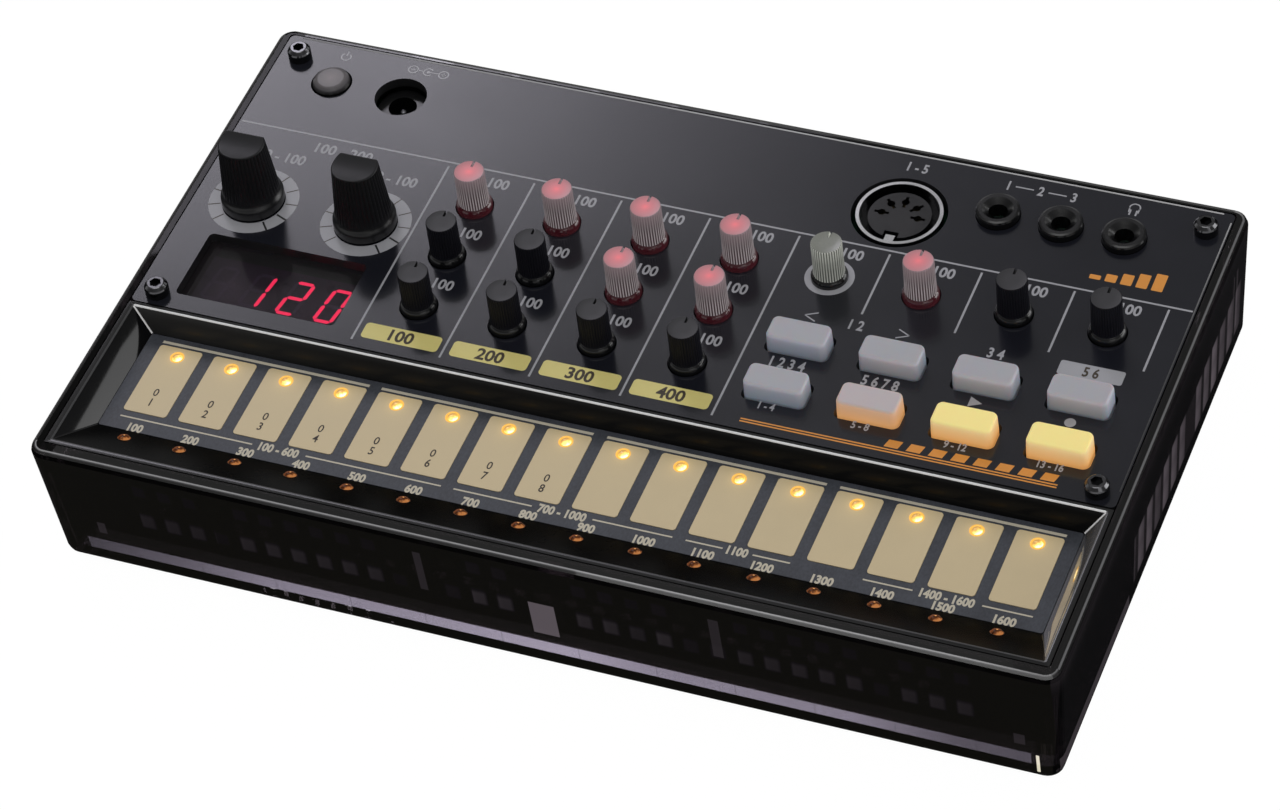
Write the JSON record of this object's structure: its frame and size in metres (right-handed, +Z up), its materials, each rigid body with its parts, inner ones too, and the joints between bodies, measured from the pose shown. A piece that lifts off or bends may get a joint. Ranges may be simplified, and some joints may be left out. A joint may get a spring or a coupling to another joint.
{
  "type": "drum machine",
  "caption": "Compact tabletop drum machine: smoked see-through case, dark control panel with ribbed knobs, rubber buttons, sockets and red display, and a bevelled row of touch keys.",
  "frame": {"origin": "middle of the footprint, on the surface that the feet stand on", "axes": "+X to the player's right along the longest side, +Y away from the player, +Z up out of the panel"},
  "size_m": [0.1942, 0.116, 0.0469],
  "materials": {
    "smoked_plastic": "smoked see-through, glossy",
    "black_plastic": "moulded black",
    "panel_metal": "satin black with printed marks",
    "bezel_gloss": "polished black",
    "sheet_grey": "slate grey, fine diagonal grain",
    "key_cream": "printed cream",
    "amber_lens": "clear amber, lit",
    "amber_dim": "clear amber, dimly lit",
    "knob_black": "black with fine ribs",
    "knob_pink": "see-through pink, lit from below",
    "knob_clear": "clear with fine ribs",
    "button_grey": "silicone rubber, satin",
    "button_lit": "silicone rubber, lit from below",
    "foot_rubber": "matt",
    "screw_steel": "blackened",
    "bare_steel": "zinc plated",
    "shell_chrome": "polished",
    "contact_brass": "plated",
    "window_pane": "tinted pane",
    "display_face": "dark face with lit digits",
    "cap_grey": "polished grey",
    "board_green": "solder mask",
    "pot_body": "moulded",
    "speaker_cone": "paper cone in a pressed frame",
    "cell_wrap": "wrapped cell"
  },
  "bodies": {
    "housing": {"lower_case": "smoked_plastic", "inner_frame": "black_plastic", "front_panel": "panel_metal", "key_bezel": "bezel_gloss", "key_sheet": "sheet_grey", "key_pads": "key_cream", "key_lamps": "amber_lens", "bezel_lamps": "amber_dim", "panel_screws": "screw_steel", "display_window": "window_pane", "display_module": "display_face", "din_shell": "shell_chrome", "din_insert": "black_plastic", "din_contacts": "contact_brass", "mini_jacks": "black_plastic", "mini_jack_bushings": "bezel_gloss", "dc_jack": "black_plastic", "dc_jack_pin": "bare_steel", "power_switch": "black_plastic", "small_pots": "pot_body", "large_pots": "pot_body", "control_board": "board_green", "key_board": "board_green", "button_switches": "black_plastic", "speaker": "speaker_cone", "battery_box": "black_plastic", "battery_contacts": "bare_steel", "batteries": "cell_wrap", "rubber_feet": "foot_rubber", "case_screws": "bare_steel"},
    "battery_door": {"battery_door": "black_plastic"},
    "power_button": {"power_button": "cap_grey"},
    "large_knob_left": {"large_knob_left": "knob_black", "large_shaft_left": "bare_steel"},
    "large_knob_right": {"large_knob_right": "knob_black", "large_shaft_right": "bare_steel"},
    "small_knob_1": {"small_knob_1": "knob_pink"},
    "small_knob_2": {"small_knob_2": "knob_pink"},
    "small_knob_3": {"small_knob_3": "knob_pink"},
    "small_knob_4": {"small_knob_4": "knob_pink"},
    "small_knob_5": {"small_knob_5": "knob_clear"},
    "small_knob_6": {"small_knob_6": "knob_pink"},
    "small_knob_7": {"small_knob_7": "knob_black"},
    "small_knob_8": {"small_knob_8": "knob_black"},
    "small_knob_9": {"small_knob_9": "knob_black"},
    "small_knob_10": {"small_knob_10": "knob_black"},
    "small_knob_11": {"small_knob_11": "knob_pink"},
    "small_knob_12": {"small_knob_12": "knob_pink"},
    "small_knob_13": {"small_knob_13": "knob_black"},
    "small_knob_14": {"small_knob_14": "knob_black"},
    "small_knob_15": {"small_knob_15": "knob_black"},
    "small_knob_16": {"small_knob_16": "knob_black"},
    "push_button_1": {"push_button_1": "button_grey"},
    "push_button_2": {"push_button_2": "button_grey"},
    "push_button_3": {"push_button_3": "button_grey"},
    "push_button_4": {"push_button_4": "button_grey"},
    "push_button_5": {"push_button_5": "button_grey"},
    "push_button_6": {"push_button_6": "button_grey"},
    "push_button_7": {"push_button_7": "button_lit"},
    "push_button_8": {"push_button_8": "button_lit"}
  },
  "joints": [
    {"name": "battery_door_slide", "type": "slide", "parent": "housing", "child": "battery_door", "axis": [0, 1, 0], "range_m": [0, 0.03]},
    {"name": "power_button_press", "type": "slide", "parent": "housing", "child": "power_button", "axis": [0, 0, -1], "range_m": [0, 0.0008], "stiffness_N_per_m": 600},
    {"name": "large_knob_left_turn", "type": "hinge", "parent": "housing", "child": "large_knob_left", "pos_m": [-0.08295, 0.01205, 0.0315], "axis": [0, 0, -1], "range_deg": [-140, 140]},
    {"name": "large_knob_right_turn", "type": "hinge", "parent": "housing", "child": "large_knob_right", "pos_m": [-0.0599, 0.01205, 0.0315], "axis": [0, 0, -1], "range_deg": [-140, 140]},
    {"name": "small_knob_1_turn", "type": "hinge", "parent": "housing", "child": "small_knob_1", "pos_m": [-0.0418, 0.02175, 0.0315], "axis": [0, 0, -1], "range_deg": [-140, 140]},
    {"name": "small_knob_2_turn", "type": "hinge", "parent": "housing", "child": "small_knob_2", "pos_m": [-0.02426, 0.02175, 0.0315], "axis": [0, 0, -1], "range_deg": [-140, 140]},
    {"name": "small_knob_3_turn", "type": "hinge", "parent": "housing", "child": "small_knob_3", "pos_m": [-0.00672, 0.02175, 0.0315], "axis": [0, 0, -1], "range_deg": [-140, 140]},
    {"name": "small_knob_4_turn", "type": "hinge", "parent": "housing", "child": "small_knob_4", "pos_m": [0.01082, 0.02175, 0.0315], "axis": [0, 0, -1], "range_deg": [-140, 140]},
    {"name": "small_knob_5_turn", "type": "hinge", "parent": "housing", "child": "small_knob_5", "pos_m": [0.02836, 0.02175, 0.0315], "axis": [0, 0, -1], "range_deg": [-140, 140]},
    {"name": "small_knob_6_turn", "type": "hinge", "parent": "housing", "child": "small_knob_6", "pos_m": [0.0459, 0.02175, 0.0315], "axis": [0, 0, -1], "range_deg": [-140, 140]},
    {"name": "small_knob_7_turn", "type": "hinge", "parent": "housing", "child": "small_knob_7", "pos_m": [0.06344, 0.02175, 0.0315], "axis": [0, 0, -1], "range_deg": [-140, 140]},
    {"name": "small_knob_8_turn", "type": "hinge", "parent": "housing", "child": "small_knob_8", "pos_m": [0.08098, 0.02175, 0.0315], "axis": [0, 0, -1], "range_deg": [-140, 140]},
    {"name": "small_knob_9_turn", "type": "hinge", "parent": "housing", "child": "small_knob_9", "pos_m": [-0.0418, 0.00825, 0.0315], "axis": [0, 0, -1], "range_deg": [-140, 140]},
    {"name": "small_knob_10_turn", "type": "hinge", "parent": "housing", "child": "small_knob_10", "pos_m": [-0.02426, 0.00825, 0.0315], "axis": [0, 0, -1], "range_deg": [-140, 140]},
    {"name": "small_knob_11_turn", "type": "hinge", "parent": "housing", "child": "small_knob_11", "pos_m": [-0.00672, 0.00825, 0.0315], "axis": [0, 0, -1], "range_deg": [-140, 140]},
    {"name": "small_knob_12_turn", "type": "hinge", "parent": "housing", "child": "small_knob_12", "pos_m": [0.01082, 0.00825, 0.0315], "axis": [0, 0, -1], "range_deg": [-140, 140]},
    {"name": "small_knob_13_turn", "type": "hinge", "parent": "housing", "child": "small_knob_13", "pos_m": [-0.0418, -0.00525, 0.0315], "axis": [0, 0, -1], "range_deg": [-140, 140]},
    {"name": "small_knob_14_turn", "type": "hinge", "parent": "housing", "child": "small_knob_14", "pos_m": [-0.02426, -0.00525, 0.0315], "axis": [0, 0, -1], "range_deg": [-140, 140]},
    {"name": "small_knob_15_turn", "type": "hinge", "parent": "housing", "child": "small_knob_15", "pos_m": [-0.00672, -0.00525, 0.0315], "axis": [0, 0, -1], "range_deg": [-140, 140]},
    {"name": "small_knob_16_turn", "type": "hinge", "parent": "housing", "child": "small_knob_16", "pos_m": [0.01082, -0.00525, 0.0315], "axis": [0, 0, -1], "range_deg": [-140, 140]},
    {"name": "push_button_1_press", "type": "slide", "parent": "housing", "child": "push_button_1", "axis": [0, 0, -1], "range_m": [0, 0.001], "stiffness_N_per_m": 600},
    {"name": "push_button_2_press", "type": "slide", "parent": "housing", "child": "push_button_2", "axis": [0, 0, -1], "range_m": [0, 0.001], "stiffness_N_per_m": 600},
    {"name": "push_button_3_press", "type": "slide", "parent": "housing", "child": "push_button_3", "axis": [0, 0, -1], "range_m": [0, 0.001], "stiffness_N_per_m": 600},
    {"name": "push_button_4_press", "type": "slide", "parent": "housing", "child": "push_button_4", "axis": [0, 0, -1], "range_m": [0, 0.001], "stiffness_N_per_m": 600},
    {"name": "push_button_5_press", "type": "slide", "parent": "housing", "child": "push_button_5", "axis": [0, 0, -1], "range_m": [0, 0.001], "stiffness_N_per_m": 600},
    {"name": "push_button_6_press", "type": "slide", "parent": "housing", "child": "push_button_6", "axis": [0, 0, -1], "range_m": [0, 0.001], "stiffness_N_per_m": 600},
    {"name": "push_button_7_press", "type": "slide", "parent": "housing", "child": "push_button_7", "axis": [0, 0, -1], "range_m": [0, 0.001], "stiffness_N_per_m": 600},
    {"name": "push_button_8_press", "type": "slide", "parent": "housing", "child": "push_button_8", "axis": [0, 0, -1], "range_m": [0, 0.001], "stiffness_N_per_m": 600}
  ]
}
